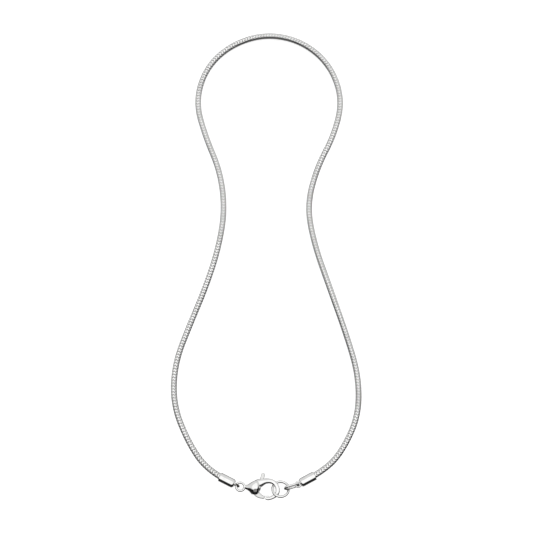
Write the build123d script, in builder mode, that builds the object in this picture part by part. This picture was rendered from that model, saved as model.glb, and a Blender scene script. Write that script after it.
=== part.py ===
# Snake chain necklace, closed and lying flat
# Millimetres. X runs across the necklace, Y from the clasp to the far curve, Z up from the table.
# The origin is under the middle of the necklace, on the table.

from math import cos, radians, sin, tan
import os

from build123d import *

# Driving dimensions of the chain
CHAIN_RADIUS = 1.2
CHAIN_REST_Z = CHAIN_RADIUS
CHAIN_LIFT_Z = 1.52
CHAIN_END_Z = 1.92
FILLET_SHARE = 0.45

# Route of the chain's centre line, from the left end cap round to the right one
ROUTE = [
    (-14.8, -86.5, CHAIN_END_Z),
    (-22.7, -82.6, CHAIN_LIFT_Z),
    (-30.4, -71.8, CHAIN_REST_Z),
    (-36.5, -56.9, CHAIN_REST_Z),
    (-35.9, -40.8, CHAIN_REST_Z),
    (-30.1, -25.7, CHAIN_REST_Z),
    (-24.0, -11.0, CHAIN_REST_Z),
    (-19.1, 4.3, CHAIN_REST_Z),
    (-16.5, 20.2, CHAIN_REST_Z),
    (-18.5, 36.1, CHAIN_REST_Z),
    (-24.4, 50.0, CHAIN_REST_Z),
    (-28.6, 64.6, CHAIN_REST_Z),
    (-24.9, 78.5, CHAIN_REST_Z),
    (-15.0, 88.6, CHAIN_REST_Z),
    (-0.3, 93.6, CHAIN_REST_Z),
    (14.7, 90.5, CHAIN_REST_Z),
    (26.2, 80.5, CHAIN_REST_Z),
    (31.2, 65.9, CHAIN_REST_Z),
    (27.6, 51.0, CHAIN_REST_Z),
    (20.6, 37.7, CHAIN_REST_Z),
    (16.5, 22.1, CHAIN_REST_Z),
    (19.3, 6.2, CHAIN_REST_Z),
    (25.9, -12.7, CHAIN_REST_Z),
    (32.4, -31.6, CHAIN_REST_Z),
    (36.4, -46.1, CHAIN_REST_Z),
    (36.3, -61.2, CHAIN_REST_Z),
    (30.4, -74.1, CHAIN_REST_Z),
    (23.5, -82.1, CHAIN_LIFT_Z),
    (15.8, -86.1, CHAIN_END_Z),
]

# End caps
CAP_RADIUS = 1.75
CAP_LENGTH = 6.4
CAP_END_ROUND = 1.0
CAP_BORE_RADIUS = 1.3
CAP_BORE_DEPTH = 3.8
CAP_RIM_ROUND = 0.1
CHAIN_INSERT = 3.5
LOOP_OFFSET = 0.8
LOOP_HOLE_RADIUS = 0.64
LOOP_WIRE_RADIUS = 0.37
LEFT_LOOP_TILT = 72
RIGHT_LOOP_TILT = 0

# Clasp
CLASP_Z = 2.17
EYE_CENTRE = (-9.95, -88.7)
EYE_RADIUS = 1.6
EYE_WIRE_RADIUS = 0.44
HOOK_CENTRE = (1.1, -90.0)
PIVOT = (-4.15, -89.9)

# Body sections: place along X, centre in Y, half width, half thickness; rolled, the gate's side down
BODY_ROLL = 20
BODY_SECTIONS = [
    (-8.6, -88.75, 0.7, 0.42),
    (-7.7, -88.88, 0.85, 0.7),
    (-6.9, -88.96, 1.23, 1.1),
    (-6.1, -89.1, 1.96, 1.5),
    (-5.3, -89.25, 2.62, 1.8),
    (-4.5, -89.2, 2.98, 1.94),
    (-3.8, -89.12, 3.07, 1.95),
    (-3.2, -89.08, 2.88, 1.8),
    (-2.7, -89.0, 2.32, 1.5),
    (-2.3, -88.95, 1.53, 1.1),
    (-2.05, -88.9, 0.8, 0.7),
]

# Hook sections: angle round the hook's centre, distance from it, half width, half thickness
HOOK_SECTIONS = [
    (170, 5.05, 1.95, 1.3),
    (148, 4.8, 2.02, 1.4),
    (128, 4.1, 1.49, 1.25),
    (108, 3.64, 1.07, 1.0),
    (88, 3.48, 0.94, 0.8),
    (66, 3.47, 0.89, 0.64),
    (40, 3.42, 0.84, 0.58),
    (12, 3.44, 0.82, 0.56),
    (-14, 3.44, 0.79, 0.53),
    (-37, 3.25, 0.73, 0.5),
    (-60, 3.1, 0.66, 0.48),
    (-86, 3.18, 0.61, 0.46),
    (-113, 3.27, 0.42, 0.4),
]

# Slot between the clasp's cheeks, where the lever turns
SLOT_HALF = 0.58
SLOT_OUTLINE = [
    (-5.0, -93.6),
    (-5.45, -90.0),
    (-5.1, -88.9),
    (-4.45, -84.2),
    (-0.4, -84.2),
    (-0.4, -86.0),
    (-2.4, -89.3),
    (-1.7, -89.7),
    (-1.0, -90.0),
    (-1.0, -93.6),
]

# Lever, with its gate between two edges and the gate's lip inside the hook's tip
LEVER_HALF = 0.5
LEVER_HUB_RADIUS = 1.1
LEVER_EDGE_ROUND = 0.4
GATE_END_ROUND = 0.3
GATE_OUTER_EDGE = [
    (-4.9, -91.0),
    (-4.2, -92.2),
    (-2.9, -92.95),
    (-1.6, -93.25),
    (-0.68, -93.3),
]
GATE_INNER_EDGE = [
    (-0.35, -92.25),
    (-1.5, -91.85),
    (-2.3, -91.1),
    (-3.1, -90.1),
]
LIP_CENTRE = (0.1, -92.33)
LIP_LENGTH = 2.0
LIP_WIDTH = 0.26
LIP_HALF = 0.35
ARM_RADIUS = 0.55
THUMB_BEND = (-1.5, -85.6)
THUMB_TIP = (-1.15, -84.15)
THUMB_RADIUS = 0.75

# Rivet pin
PIN_RADIUS = 0.4
PIN_LEVER_GAP = 0.05
PIN_CHEEK_GAP = 0.02
PIN_HEAD_RADIUS = 0.62
PIN_HEAD_SEAT = 1.45
PIN_HEAD_HEIGHT = 0.3
PIN_HEAD_ROUND = 0.25
PIN_HEAD_GAP = 0.03
CUT_REACH = 3

# Jump ring and connecting link
RING_CENTRE = (5.66, -89.6)
RING_RADIUS = 3.155
RING_WIRE_RADIUS = 0.5
RING_TILT = 31
LINK_HALF_LENGTH = 3.12
LINK_HALF_WIDTH = 2.1
LINK_WIRE_RADIUS = 0.45
LINK_TURN = 17
LINK_LEAN = 22


def corner_radii(points):
    """Fillet radius at each inner point of a route."""
    radii = []
    for before, here, after in zip(points, points[1:], points[2:]):
        run_in = Vector(here) - Vector(before)
        run_out = Vector(after) - Vector(here)
        half_turn = radians(run_in.get_angle(run_out)) / 2
        radii.append(FILLET_SHARE * min(run_in.length, run_out.length) / tan(half_turn))
    return radii


def make_end_cap(chain_end, chain_next, loop_tilt):
    """Tubular end cap over one end of the chain, with its loop."""
    axis = (Vector(chain_end) - Vector(chain_next)).normalized()
    mouth = Vector(chain_end) - axis * CHAIN_INSERT
    level = Vector(-axis.Y, axis.X, 0).normalized()
    loop_side = level.rotate(Axis((0, 0, 0), axis), loop_tilt)
    loop_normal = axis.cross(loop_side)
    loop_centre = mouth + axis * (CAP_LENGTH + LOOP_OFFSET)
    loop_plane = Plane(origin=loop_centre, x_dir=axis, z_dir=loop_normal)
    mouth_plane = Plane(origin=mouth, x_dir=loop_normal, z_dir=axis)
    with BuildPart() as cap:
        with BuildSketch(mouth_plane):
            Circle(CAP_RADIUS)
        extrude(amount=CAP_LENGTH)
        fillet(cap.faces().sort_by(Axis(mouth, axis))[-1].edges(), CAP_END_ROUND)
        with BuildSketch(mouth_plane):
            Circle(CAP_BORE_RADIUS)
        extrude(amount=CAP_BORE_DEPTH, mode=Mode.SUBTRACT)
        fillet(cap.faces().sort_by(Axis(mouth, axis))[0].edges(), CAP_RIM_ROUND)
        with Locations(loop_plane):
            Torus(LOOP_HOLE_RADIUS + LOOP_WIRE_RADIUS, LOOP_WIRE_RADIUS)
    return cap


# Chain
radii = corner_radii(ROUTE)
with BuildPart() as snake_chain:
    with BuildLine() as chain_path:
        FilletPolyline(*ROUTE, radius=radii)
    chain_line = chain_path.wire()
    with BuildSketch(Plane(origin=chain_line @ 0, z_dir=chain_line % 0)):
        Circle(CHAIN_RADIUS)
    sweep()
snake_chain.part.label = "snake_chain"
print("route length", round(chain_line.length, 2), "tightest arc", round(min(radii), 2))
print("radii", [round(radius) for radius in radii])

# End caps
end_cap_left = make_end_cap(ROUTE[0], ROUTE[1], LEFT_LOOP_TILT)
end_cap_left.part.label = "end_cap_left"
end_cap_right = make_end_cap(ROUTE[-1], ROUTE[-2], RIGHT_LOOP_TILT)
end_cap_right.part.label = "end_cap_right"

# Clasp body, with its eye and its hook
body_width_dir = (0, cos(radians(BODY_ROLL)), sin(radians(BODY_ROLL)))
with BuildPart() as clasp_body:
    for along, centre_y, half_width, half_thickness in BODY_SECTIONS:
        with BuildSketch(Plane(origin=(along, centre_y, CLASP_Z), x_dir=body_width_dir, z_dir=(1, 0, 0))):
            Ellipse(half_width, half_thickness)
    loft()
    for angle, distance, half_width, half_thickness in HOOK_SECTIONS:
        outward = Vector(cos(radians(angle)), sin(radians(angle)), 0)
        station = Vector(*HOOK_CENTRE, CLASP_Z) + outward * distance
        with BuildSketch(Plane(origin=station, x_dir=outward, z_dir=outward.cross(Vector(0, 0, 1)))):
            Ellipse(half_width, half_thickness)
    loft()
    with Locations((*EYE_CENTRE, CLASP_Z)):
        Torus(EYE_RADIUS, EYE_WIRE_RADIUS)
    with BuildSketch(Plane.XY.offset(CLASP_Z)):
        with BuildLine():
            Polyline(*SLOT_OUTLINE, close=True)
        make_face()
    extrude(amount=SLOT_HALF, both=True, mode=Mode.SUBTRACT)
    with BuildSketch(Plane.XY.offset(CLASP_Z)):
        with Locations(PIVOT):
            Circle(PIN_RADIUS + PIN_CHEEK_GAP)
    extrude(amount=CUT_REACH, both=True, mode=Mode.SUBTRACT)
    for side in (-1, 1):
        with BuildSketch(Plane.XY.offset(CLASP_Z + side * PIN_HEAD_SEAT)):
            with Locations(PIVOT):
                Circle(PIN_HEAD_RADIUS + PIN_HEAD_GAP)
        extrude(amount=side * CUT_REACH, mode=Mode.SUBTRACT)
clasp_body.part.label = "clasp_body"

# Lever's gate, which closes the hook
with BuildPart() as gate:
    with BuildSketch(Plane.XY.offset(CLASP_Z - LEVER_HALF)) as gate_face:
        with BuildLine():
            Spline(*GATE_OUTER_EDGE)
            Line(GATE_OUTER_EDGE[-1], GATE_INNER_EDGE[0])
            Spline(*GATE_INNER_EDGE)
            Line(GATE_INNER_EDGE[-1], GATE_OUTER_EDGE[0])
        make_face()
        fillet(gate_face.vertices().sort_by(Axis.X)[-2:], GATE_END_ROUND)
    extrude(amount=2 * LEVER_HALF)
    gate_rims = gate.edges().group_by(Axis.Z)
    fillet(gate_rims[0] + gate_rims[-1], LEVER_EDGE_ROUND)

# Lever, a hub with an arm to the thumb tab, joined to its gate
with BuildPart() as clasp_lever:
    with BuildSketch(Plane.XY.offset(CLASP_Z - LEVER_HALF)):
        with Locations(PIVOT):
            Circle(LEVER_HUB_RADIUS)
        with BuildLine():
            Line(PIVOT, THUMB_BEND)
        trace(line_width=2 * ARM_RADIUS)
        with BuildLine():
            Line(THUMB_BEND, THUMB_TIP)
        trace(line_width=2 * THUMB_RADIUS)
        with Locations(THUMB_BEND, THUMB_TIP):
            Circle(THUMB_RADIUS)
    extrude(amount=2 * LEVER_HALF)
    lever_rims = clasp_lever.edges().group_by(Axis.Z)
    fillet(lever_rims[0] + lever_rims[-1], LEVER_EDGE_ROUND)
    add(gate.part)
    with BuildSketch(Plane.XY.offset(CLASP_Z)):
        with Locations(LIP_CENTRE):
            Rectangle(LIP_LENGTH, LIP_WIDTH)
    extrude(amount=LIP_HALF, both=True)
    with BuildSketch(Plane.XY.offset(CLASP_Z)):
        with Locations(PIVOT):
            Circle(PIN_RADIUS + PIN_LEVER_GAP)
    extrude(amount=CUT_REACH, both=True, mode=Mode.SUBTRACT)
clasp_lever.part.label = "clasp_lever"

# Rivet pin
with BuildPart() as clasp_pin:
    with BuildSketch(Plane.XY.offset(CLASP_Z)):
        with Locations(PIVOT):
            Circle(PIN_RADIUS)
    extrude(amount=PIN_HEAD_SEAT + PIN_HEAD_GAP, both=True)
    for side in (-1, 1):
        with BuildSketch(Plane.XY.offset(CLASP_Z + side * (PIN_HEAD_SEAT + PIN_HEAD_GAP))):
            with Locations(PIVOT):
                Circle(PIN_HEAD_RADIUS)
        extrude(amount=side * PIN_HEAD_HEIGHT)
    pin_rims = clasp_pin.edges().group_by(Axis.Z)
    fillet(pin_rims[0] + pin_rims[-1], PIN_HEAD_ROUND)
clasp_pin.part.label = "clasp_pin"

# Jump ring, resting on its far edge with its near edge raised over the hook's tip
ring_height = RING_WIRE_RADIUS + RING_RADIUS * sin(radians(RING_TILT))
ring_up = (0, sin(radians(RING_TILT)), cos(radians(RING_TILT)))
with BuildPart() as jump_ring:
    with Locations(Plane(origin=(*RING_CENTRE, ring_height), x_dir=(1, 0, 0), z_dir=ring_up)):
        Torus(RING_RADIUS, RING_WIRE_RADIUS)
jump_ring.part.label = "jump_ring"

# Connecting link, an oval ring standing on its long side
cap_axis = (Vector(ROUTE[-1]) - Vector(ROUTE[-2])).normalized()
link_end = Vector(ROUTE[-1]) + cap_axis * (CAP_LENGTH + LOOP_OFFSET - CHAIN_INSERT)
link_along = Vector(cos(radians(LINK_TURN)), sin(radians(LINK_TURN)), 0)
link_side = Vector(-link_along.Y, link_along.X, 0)
link_normal = Vector(0, 0, sin(radians(LINK_LEAN))) - link_side * cos(radians(LINK_LEAN))
link_bend = LINK_HALF_WIDTH - LINK_WIRE_RADIUS
link_reach = LINK_HALF_LENGTH - LINK_WIRE_RADIUS
link_straight = link_reach - link_bend
link_centre = link_end - link_along * link_reach
link_plane = Plane(origin=link_centre, x_dir=link_along, z_dir=link_normal)
with BuildPart() as connecting_link:
    with BuildLine(link_plane) as link_line:
        Line((-link_straight, link_bend), (link_straight, link_bend))
        ThreePointArc((link_straight, link_bend), (link_reach, 0), (link_straight, -link_bend))
        Line((link_straight, -link_bend), (-link_straight, -link_bend))
        ThreePointArc((-link_straight, -link_bend), (-link_reach, 0), (-link_straight, link_bend))
    link_loop = link_line.wire()
    with BuildSketch(Plane(origin=link_loop @ 0, z_dir=link_loop % 0)):
        Circle(LINK_WIRE_RADIUS)
    sweep()
connecting_link.part.label = "connecting_link"

os.makedirs("parts", exist_ok=True)
export_step(snake_chain.part, "parts/snake_chain.step")
export_step(end_cap_left.part, "parts/end_cap_left.step")
export_step(end_cap_right.part, "parts/end_cap_right.step")
export_step(clasp_body.part, "parts/clasp_body.step")
export_step(clasp_lever.part, "parts/clasp_lever.step")
export_step(clasp_pin.part, "parts/clasp_pin.step")
export_step(jump_ring.part, "parts/jump_ring.step")
export_step(connecting_link.part, "parts/connecting_link.step")
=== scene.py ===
# Snake chain necklace, lying closed on a pale surface
# Metres. X runs across the necklace, Y from the clasp to the far curve, Z up.

from math import asin, cos, pi, radians, sin

import bpy
import numpy as np
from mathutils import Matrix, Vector


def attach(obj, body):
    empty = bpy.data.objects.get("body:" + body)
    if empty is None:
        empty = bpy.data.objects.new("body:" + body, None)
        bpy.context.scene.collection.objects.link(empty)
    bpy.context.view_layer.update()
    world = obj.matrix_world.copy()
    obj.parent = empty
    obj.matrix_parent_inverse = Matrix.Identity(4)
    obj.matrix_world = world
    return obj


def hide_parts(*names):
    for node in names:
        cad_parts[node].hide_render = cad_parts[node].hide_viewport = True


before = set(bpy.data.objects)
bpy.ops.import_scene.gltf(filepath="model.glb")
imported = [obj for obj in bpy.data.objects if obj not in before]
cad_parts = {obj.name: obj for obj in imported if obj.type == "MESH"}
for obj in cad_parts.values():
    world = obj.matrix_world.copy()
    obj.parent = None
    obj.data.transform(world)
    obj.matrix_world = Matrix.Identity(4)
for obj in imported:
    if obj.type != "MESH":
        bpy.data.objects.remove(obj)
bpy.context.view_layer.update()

# Camera
PICTURE_WIDTH = 533
FOCAL_PIXELS = 1000
SENSOR_WIDTH = 36
CAMERA_TARGET = Vector((0.0002, -0.0025, 0))
CAMERA_DISTANCE = 0.4
CAMERA_TILT = radians(7)

# Surroundings; the sky's levels are by height, and by how far below a sloping plane on the clasp's side
FLOOR_REACH = 3
FLOOR_DROP = -0.00002
FLOOR_TONE = (0.86, 0.86, 0.86, 1)
FLOOR_ROUGHNESS = 0.9
FLOOR_GLOW = 0.7
SKY_STRENGTH = 1.09
SKY_BY_HEIGHT = [
    (-1.0, 0.25),
    (-0.6, 0.3),
    (-0.45, 0.55),
    (0.1, 0.7),
    (0.72, 0.7),
    (0.8, 1.0),
    (1.0, 1.0),
]
SIDE_SLOPE = 0.95
SKY_BY_SIDE = [
    (-1.0, 0.03),
    (-0.1, 0.01),
    (0.04, 0.03),
    (0.19, 0.8),
    (0.32, 0.97),
    (0.45, 1.0),
    (1.0, 1.0),
]
SIDE_BY_HEIGHT = [
    (-1.0, 0.0),
    (-0.6, 0.0),
    (-0.45, 1.0),
    (1.0, 1.0),
]

# Chain, by its centre line from the left end cap round to the right one
CHAIN_ROUTE = [
    (-0.0148, -0.0865, 0.00192),
    (-0.0227, -0.0826, 0.00152),
    (-0.0304, -0.0718, 0.0012),
    (-0.0365, -0.0569, 0.0012),
    (-0.0359, -0.0408, 0.0012),
    (-0.0301, -0.0257, 0.0012),
    (-0.0240, -0.0110, 0.0012),
    (-0.0191, 0.0043, 0.0012),
    (-0.0165, 0.0202, 0.0012),
    (-0.0185, 0.0361, 0.0012),
    (-0.0244, 0.0500, 0.0012),
    (-0.0286, 0.0646, 0.0012),
    (-0.0249, 0.0785, 0.0012),
    (-0.0150, 0.0886, 0.0012),
    (-0.0003, 0.0936, 0.0012),
    (0.0147, 0.0905, 0.0012),
    (0.0262, 0.0805, 0.0012),
    (0.0312, 0.0659, 0.0012),
    (0.0276, 0.0510, 0.0012),
    (0.0206, 0.0377, 0.0012),
    (0.0165, 0.0221, 0.0012),
    (0.0193, 0.0062, 0.0012),
    (0.0259, -0.0127, 0.0012),
    (0.0324, -0.0316, 0.0012),
    (0.0364, -0.0461, 0.0012),
    (0.0363, -0.0612, 0.0012),
    (0.0304, -0.0741, 0.0012),
    (0.0235, -0.0821, 0.00152),
    (0.0158, -0.0861, 0.00192),
]
LINK_PITCH = 0.00114
LINK_WAVES = 6
LINK_WAVE_HEIGHT = 0.00028
LINK_WAVE_SHARPNESS = 0.95
LINK_NOTCH = 0.25
LINK_NOTCH_POWER = 6
LINK_TIP_POWER = 4
# Painted shade in the pits at the tips of each link's wave
LINK_PIT_PAINTED_SHADE = 2.5
LINK_SEGMENTS = 48
LINK_SHARP_ANGLE = radians(50)
LINE_STEPS = 32
LINK_TWIST = radians(25)
LINKS_PER_TWIST = 150

# One link's section: place along the chain from its middle, distance from the chain's centre line, painted
# shade in the grooves between links
LINK_SECTION = [
    (-0.00053, 0.00100, 1.0),
    (-0.00053, 0.00106, 0.5),
    (-0.00049, 0.00113, 0.1),
    (-0.00035, 0.00119, 0.0),
    (0.00000, 0.00120, 0.0),
    (0.00035, 0.00119, 0.0),
    (0.00049, 0.00113, 0.1),
    (0.00053, 0.00106, 0.5),
    (0.00053, 0.00097, 1.0),
    (0.00078, 0.00095, 1.0),
    (0.00078, 0.00087, 1.0),
]
LINK_LIP_ROWS = 2

# Silvers, by their darkest and lightest tone and their least and most roughness
CHAIN_TONES = ((0.88, 0.88, 0.87, 1), (0.97, 0.97, 0.965, 1))
CHAIN_ROUGHNESS = (0.05, 0.12)
FITTING_TONES = ((0.86, 0.86, 0.85, 1), (0.95, 0.95, 0.945, 1))
FITTING_ROUGHNESS = (0.02, 0.07)
LEVER_TONES = ((0.76, 0.76, 0.75, 1), (0.86, 0.86, 0.85, 1))
LEVER_ROUGHNESS = (0.35, 0.5)
# The pin's near-black tones are painted shade, for the dark reflection in the rivet's dimple
PIN_PAINTED_SHADE_TONES = ((0.12, 0.115, 0.11, 1), (0.3, 0.29, 0.28, 1))
PIN_ROUGHNESS = (0.25, 0.4)
STAIN_SCALE = 260
STAIN_TONE_RANGE = (0.36, 0.6)
STAIN_WEAR_RANGE = (0.3, 0.7)
RIPPLE_DEPTH = 0.0002
SCRATCH_SCALE = 6000
SCRATCH_DEPTH = 0.00001

# Painted shade, by its tone and roughness, and for the fittings by where it starts and where it is full
GROOVE_PAINTED_SHADE = (0.2, 0.195, 0.19, 1)
GROOVE_ROUGHNESS = 0.35
# Painted shade on the fittings' clasp-facing sides, for the dark reflection there, and in the gap where
# the cap's loop runs in the eye
SIDE_PAINTED_SHADE = (0.1, 0.095, 0.09, 1)
SIDE_ROUGHNESS = 0.3
WIRE_FACING_Y = (-0.15, -0.4)
BODY_FACING_Y = (-0.6, -0.85)
EYE_X = (-0.0080, -0.0086)
HOOK_TIP_Y = (-0.0914, -0.0918)
CAP_LOOP_LEFT_X = (-0.0119, -0.0116)
CAP_LOOP_RIGHT_X = (-0.0100, -0.0104)


def smooth_line(points):
    """Points along the NURBS curve that takes these as its control points."""
    curve = bpy.data.curves.new("line", "CURVE")
    curve.dimensions = "3D"
    spline = curve.splines.new("NURBS")
    spline.points.add(len(points) - 1)
    for control, place in zip(spline.points, points):
        control.co = (*place, 1)
    spline.order_u = 3
    spline.use_endpoint_u = True
    spline.resolution_u = LINE_STEPS
    holder = bpy.data.objects.new("line", curve)
    mesh = bpy.data.meshes.new_from_object(holder)
    line = np.array([vertex.co for vertex in mesh.vertices])
    bpy.data.meshes.remove(mesh)
    bpy.data.objects.remove(holder)
    bpy.data.curves.remove(curve)
    return line


def link_mesh(name, line, first, last, count):
    """Links first to last - 1 of a chain of count links, as one mesh."""
    runs = np.linalg.norm(np.diff(line, axis=0), axis=1)
    reach = np.concatenate([[0], np.cumsum(runs)])
    pitch = reach[-1] / count
    tangents = np.gradient(line, reach, axis=0)
    tangents /= np.linalg.norm(tangents, axis=1)[:, None]
    section = np.array(LINK_SECTION)
    rows = len(section)
    angles = np.arange(LINK_SEGMENTS) * 2 * pi / LINK_SEGMENTS
    wave = np.arcsin(LINK_WAVE_SHARPNESS * np.sin(LINK_WAVES * angles)) / asin(LINK_WAVE_SHARPNESS)
    notch = np.ones((rows, LINK_SEGMENTS))
    notch[:-LINK_LIP_ROWS] -= LINK_NOTCH * wave**LINK_NOTCH_POWER
    to_edge = section[:, 0] / section[:, 0].max()
    tips = np.maximum(wave[None, :] * to_edge[:, None], 0) ** LINK_TIP_POWER
    # Painted shade for the grooves, lips and pits between links, where they lie in shade
    painted_groove_shade = np.clip(section[:, 2][:, None] + LINK_PIT_PAINTED_SHADE * tips, 0, 1)
    vertices = []
    faces = []
    corner = np.arange(rows)[:, None] * LINK_SEGMENTS + np.arange(LINK_SEGMENTS)[None, :]
    here = corner
    beside = np.roll(corner, -1, axis=1)
    above = np.roll(corner, -1, axis=0)
    across = np.roll(beside, -1, axis=0)
    quads = np.stack([here, beside, across, above], axis=-1).reshape(-1, 4)
    for number in range(first, last):
        middle = (number + 0.5) * pitch
        turn = LINK_TWIST * sin(2 * pi * number / LINKS_PER_TWIST)
        along = middle + section[:, 0][:, None] * notch + LINK_WAVE_HEIGHT * wave[None, :]
        along = np.clip(along, 0, reach[-1])
        out = np.repeat(section[:, 1][:, None], LINK_SEGMENTS, axis=1)
        centre = np.stack([np.interp(along, reach, line[:, axis]) for axis in range(3)], axis=-1)
        ahead = np.stack([np.interp(along, reach, tangents[:, axis]) for axis in range(3)], axis=-1)
        side = np.cross(ahead, (0, 0, 1))
        side /= np.linalg.norm(side, axis=-1)[..., None]
        up = np.cross(side, ahead)
        swing = (angles + turn)[None, :, None]
        place = centre + out[..., None] * (np.cos(swing) * side + np.sin(swing) * up)
        vertices.append(place.reshape(-1, 3))
        faces.append(quads + (number - first) * rows * LINK_SEGMENTS)
    mesh = bpy.data.meshes.new(name)
    mesh.from_pydata(np.concatenate(vertices).tolist(), [], np.concatenate(faces).tolist())
    painted_groove_shades = mesh.attributes.new("painted_groove_shade", "FLOAT", "POINT")
    painted_groove_shades.data.foreach_set("value", np.tile(painted_groove_shade.ravel(), last - first))
    mesh.shade_smooth()
    mesh.set_sharp_from_angle(angle=LINK_SHARP_ANGLE)
    mesh.validate()
    mesh.update()
    return mesh


def new_material(name):
    """An empty node material and its Principled shader."""
    material = bpy.data.materials.new(name)
    material.use_nodes = True
    nodes = material.node_tree.nodes
    return material, nodes, material.node_tree.links, nodes["Principled BSDF"]


def silver(name, tones, roughness, ripple_scale=500, ripple=0.08, scratch=0.03):
    """Polished silver with faint stains, slight ripples and fine scratches."""
    material, nodes, links, shader = new_material(name)
    shader.inputs["Metallic"].default_value = 1
    place = nodes.new("ShaderNodeTexCoord")
    stains = nodes.new("ShaderNodeTexNoise")
    stains.inputs["Scale"].default_value = STAIN_SCALE
    stains.inputs["Detail"].default_value = 5
    stains.inputs["Roughness"].default_value = 0.6
    links.new(place.outputs["Object"], stains.inputs["Vector"])
    tone = nodes.new("ShaderNodeValToRGB")
    for element, position, colour in zip(tone.color_ramp.elements, STAIN_TONE_RANGE, tones):
        element.position = position
        element.color = colour
    links.new(stains.outputs["Fac"], tone.inputs["Fac"])
    links.new(tone.outputs["Color"], shader.inputs["Base Color"])
    wear = nodes.new("ShaderNodeMapRange")
    wear.inputs["From Min"].default_value = STAIN_WEAR_RANGE[0]
    wear.inputs["From Max"].default_value = STAIN_WEAR_RANGE[1]
    wear.inputs["To Min"].default_value = roughness[0]
    wear.inputs["To Max"].default_value = roughness[1]
    links.new(stains.outputs["Fac"], wear.inputs["Value"])
    links.new(wear.outputs["Result"], shader.inputs["Roughness"])
    ripples = nodes.new("ShaderNodeTexNoise")
    ripples.inputs["Scale"].default_value = ripple_scale
    ripples.inputs["Detail"].default_value = 2
    links.new(place.outputs["Object"], ripples.inputs["Vector"])
    ripple_bump = nodes.new("ShaderNodeBump")
    ripple_bump.inputs["Strength"].default_value = ripple
    ripple_bump.inputs["Distance"].default_value = RIPPLE_DEPTH
    links.new(ripples.outputs["Fac"], ripple_bump.inputs["Height"])
    scratches = nodes.new("ShaderNodeTexNoise")
    scratches.inputs["Scale"].default_value = SCRATCH_SCALE
    scratches.inputs["Detail"].default_value = 3
    links.new(place.outputs["Object"], scratches.inputs["Vector"])
    scratch_bump = nodes.new("ShaderNodeBump")
    scratch_bump.inputs["Strength"].default_value = scratch
    scratch_bump.inputs["Distance"].default_value = SCRATCH_DEPTH
    links.new(scratches.outputs["Fac"], scratch_bump.inputs["Height"])
    links.new(ripple_bump.outputs["Normal"], scratch_bump.inputs["Normal"])
    links.new(scratch_bump.outputs["Normal"], shader.inputs["Normal"])
    return material


def paint_shade(material, share, tone, rough):
    """Paints shade into a silver: darkens and roughens it by the share that one of its nodes gives."""
    nodes = material.node_tree.nodes
    links = material.node_tree.links
    shader = nodes["Principled BSDF"]
    colour = nodes.new("ShaderNodeMix")
    colour.data_type = "RGBA"
    colour.inputs[7].default_value = tone
    links.new(share, colour.inputs["Factor"])
    links.new(shader.inputs["Base Color"].links[0].from_socket, colour.inputs[6])
    links.new(colour.outputs[2], shader.inputs["Base Color"])
    sheen = nodes.new("ShaderNodeMix")
    sheen.inputs[3].default_value = rough
    links.new(share, sheen.inputs["Factor"])
    links.new(shader.inputs["Roughness"].links[0].from_socket, sheen.inputs[2])
    links.new(sheen.outputs[0], shader.inputs["Roughness"])


def share_along(material, output, axis, reach):
    """From 0 to 1 as a coordinate, or the way that the surface faces, goes along its reach."""
    nodes = material.node_tree.nodes
    links = material.node_tree.links
    place = nodes.new("ShaderNodeTexCoord")
    split = nodes.new("ShaderNodeSeparateXYZ")
    links.new(place.outputs[output], split.inputs["Vector"])
    span = nodes.new("ShaderNodeMapRange")
    span.inputs["From Min"].default_value = reach[0]
    span.inputs["From Max"].default_value = reach[1]
    links.new(split.outputs[axis], span.inputs["Value"])
    return span.outputs["Result"]


def combine(material, operation, first, second):
    """One value from two by a math operation."""
    node = material.node_tree.nodes.new("ShaderNodeMath")
    node.operation = operation
    material.node_tree.links.new(first, node.inputs[0])
    material.node_tree.links.new(second, node.inputs[1])
    return node.outputs["Value"]


def ramp(tree, source, stops):
    """Levels by the value of an output that runs from -1 to 1."""
    span = tree.nodes.new("ShaderNodeMapRange")
    span.inputs["From Min"].default_value = -1
    tree.links.new(source, span.inputs["Value"])
    shade = tree.nodes.new("ShaderNodeValToRGB")
    elements = shade.color_ramp.elements
    for element, (direction, level) in zip(elements, (stops[0], stops[-1])):
        element.position = (direction + 1) / 2
        element.color = (level, level, level, 1)
    for direction, level in stops[1:-1]:
        elements.new((direction + 1) / 2).color = (level, level, level, 1)
    tree.links.new(span.outputs["Result"], shade.inputs["Fac"])
    return shade.outputs["Color"]


def dress(thing, material):
    """Gives a piece or a node one material in place of its own."""
    thing.data.materials.clear()
    thing.data.materials.append(material)


# Camera
camera_data = bpy.data.cameras.new("camera")
camera_data.sensor_width = SENSOR_WIDTH
camera_data.lens = SENSOR_WIDTH * FOCAL_PIXELS / PICTURE_WIDTH
camera_data.clip_start = 0.01
camera_data.clip_end = 10
camera = bpy.data.objects.new("camera", camera_data)
camera.location = CAMERA_TARGET + CAMERA_DISTANCE * Vector((0, -sin(CAMERA_TILT), cos(CAMERA_TILT)))
camera.rotation_euler = (CAMERA_TILT, 0, 0)
bpy.context.scene.collection.objects.link(camera)
bpy.context.scene.camera = camera

# Chain, lever and pin; painted shade darkens the chain's grooves and the pits between its links
chain_silver = silver(
    "chain_silver", CHAIN_TONES, CHAIN_ROUGHNESS, ripple_scale=900, ripple=0.1, scratch=0.05
)
# The chain's grooves take painted shade from this attribute
painted_groove_shade = chain_silver.node_tree.nodes.new("ShaderNodeAttribute")
painted_groove_shade.attribute_name = "painted_groove_shade"
paint_shade(chain_silver, painted_groove_shade.outputs["Fac"], GROOVE_PAINTED_SHADE, GROOVE_ROUGHNESS)
lever_silver = silver("lever_silver", LEVER_TONES, LEVER_ROUGHNESS, scratch=0.05)
# The pin's dark silver is painted shade, for the dark reflection in the rivet's dimple
pin_silver = silver("pin_silver", PIN_PAINTED_SHADE_TONES, PIN_ROUGHNESS, ripple_scale=700, ripple=0.2, scratch=0.15)
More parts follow.
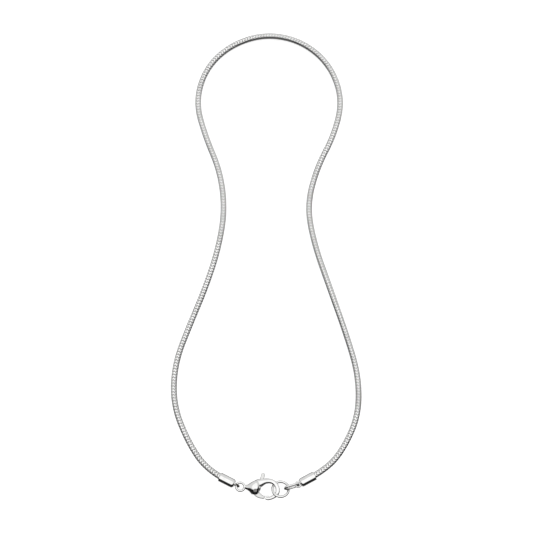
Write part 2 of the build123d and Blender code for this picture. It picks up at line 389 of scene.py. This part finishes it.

# Fittings; painted shade darkens the clasp side of the wires and of the clasp body, and the left cap where
# its loop runs in the eye
cap_silver = silver("cap_silver", FITTING_TONES, FITTING_ROUGHNESS)
past_left = share_along(cap_silver, "Object", "X", CAP_LOOP_LEFT_X)
before_right = share_along(cap_silver, "Object", "X", CAP_LOOP_RIGHT_X)
in_eye = combine(cap_silver, "MULTIPLY", past_left, before_right)
paint_shade(cap_silver, in_eye, SIDE_PAINTED_SHADE, SIDE_ROUGHNESS)
wire_silver = silver("wire_silver", FITTING_TONES, FITTING_ROUGHNESS)
wire_side = share_along(wire_silver, "Normal", "Y", WIRE_FACING_Y)
paint_shade(wire_silver, wire_side, SIDE_PAINTED_SHADE, SIDE_ROUGHNESS)
body_silver = silver("body_silver", FITTING_TONES, FITTING_ROUGHNESS)
at_eye = share_along(body_silver, "Object", "X", EYE_X)
at_tip = share_along(body_silver, "Object", "Y", HOOK_TIP_Y)
thin = combine(body_silver, "MAXIMUM", at_eye, at_tip)
thin_side = share_along(body_silver, "Normal", "Y", WIRE_FACING_Y)
wide_painted_shade = combine(body_silver, "MULTIPLY", thin, thin_side)
narrow_painted_shade = share_along(body_silver, "Normal", "Y", BODY_FACING_Y)
body_side = combine(body_silver, "MAXIMUM", wide_painted_shade, narrow_painted_shade)
paint_shade(body_silver, body_side, SIDE_PAINTED_SHADE, SIDE_ROUGHNESS)

# Chain of wavy rings, each with a lip that runs in under the next; the CAD pieces wear their silvers
line = smooth_line(CHAIN_ROUTE)
chain_length = np.linalg.norm(np.diff(line, axis=0), axis=1).sum()
link_count = round(chain_length / LINK_PITCH)
half = link_count // 2
for name, first, last in (("chain_left", 0, half), ("chain_right", half, link_count)):
    piece = bpy.data.objects.new(name, link_mesh(name, line, first, last, link_count))
    bpy.context.scene.collection.objects.link(piece)
    dress(piece, chain_silver)
    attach(piece, "root")
    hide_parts("snake_chain")

for name in ("end_cap_left", "end_cap_right"):
    dress(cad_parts[name], cap_silver)
for name in ("jump_ring", "connecting_link"):
    dress(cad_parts[name], wire_silver)
dress(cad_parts["clasp_body"], body_silver)
dress(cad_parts["clasp_lever"], lever_silver)
dress(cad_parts["clasp_pin"], pin_silver)

# Floor, a little bright in itself as under a light tent
floor_mesh = bpy.data.meshes.new("floor")
floor_corners = [(-FLOOR_REACH, -FLOOR_REACH, 0), (FLOOR_REACH, -FLOOR_REACH, 0)]
floor_corners += [(FLOOR_REACH, FLOOR_REACH, 0), (-FLOOR_REACH, FLOOR_REACH, 0)]
floor_mesh.from_pydata(floor_corners, [], [(0, 1, 2, 3)])
floor = bpy.data.objects.new("floor", floor_mesh)
floor.location.z = FLOOR_DROP
floor.visible_glossy = False
bpy.context.scene.collection.objects.link(floor)
material, nodes, links, shader = new_material("floor")
shader.inputs["Base Color"].default_value = FLOOR_TONE
shader.inputs["Roughness"].default_value = FLOOR_ROUGHNESS
shader.inputs["Emission Color"].default_value = (1, 1, 1, 1)
shader.inputs["Emission Strength"].default_value = FLOOR_GLOW
dress(floor, material)

# Light from all round: bright overhead, grey towards the horizon, dark on the clasp's side
world = bpy.data.worlds.new("studio")
bpy.context.scene.world = world
world.use_nodes = True
nodes = world.node_tree.nodes
links = world.node_tree.links
place = nodes.new("ShaderNodeTexCoord")
split = nodes.new("ShaderNodeSeparateXYZ")
links.new(place.outputs["Generated"], split.inputs["Vector"])
sky = ramp(world.node_tree, split.outputs["Z"], SKY_BY_HEIGHT)
height = nodes.new("ShaderNodeMath")
height.operation = "ABSOLUTE"
links.new(split.outputs["Z"], height.inputs[0])
above_slope = nodes.new("ShaderNodeMath")
above_slope.operation = "MULTIPLY_ADD"
above_slope.inputs[1].default_value = SIDE_SLOPE
links.new(height.outputs["Value"], above_slope.inputs[0])
links.new(split.outputs["Y"], above_slope.inputs[2])
clasp_side = ramp(world.node_tree, above_slope.outputs["Value"], SKY_BY_SIDE)
side_share = ramp(world.node_tree, split.outputs["Z"], SIDE_BY_HEIGHT)
sky_mix = nodes.new("ShaderNodeMix")
sky_mix.data_type = "RGBA"
sky_mix.blend_type = "MULTIPLY"
links.new(side_share, sky_mix.inputs["Factor"])
links.new(sky, sky_mix.inputs[6])
links.new(clasp_side, sky_mix.inputs[7])
studio = nodes["Background"]
studio.inputs["Strength"].default_value = SKY_STRENGTH
links.new(sky_mix.outputs[2], studio.inputs["Color"])
backdrop = nodes.new("ShaderNodeBackground")
backdrop.inputs["Color"].default_value = (1, 1, 1, 1)
ray = nodes.new("ShaderNodeLightPath")
choice = nodes.new("ShaderNodeMixShader")
links.new(ray.outputs["Is Camera Ray"], choice.inputs["Fac"])
links.new(studio.outputs["Background"], choice.inputs[1])
links.new(backdrop.outputs["Background"], choice.inputs[2])
links.new(choice.outputs["Shader"], nodes["World Output"].inputs["Surface"])

bpy.context.scene.view_settings.view_transform = "Standard"
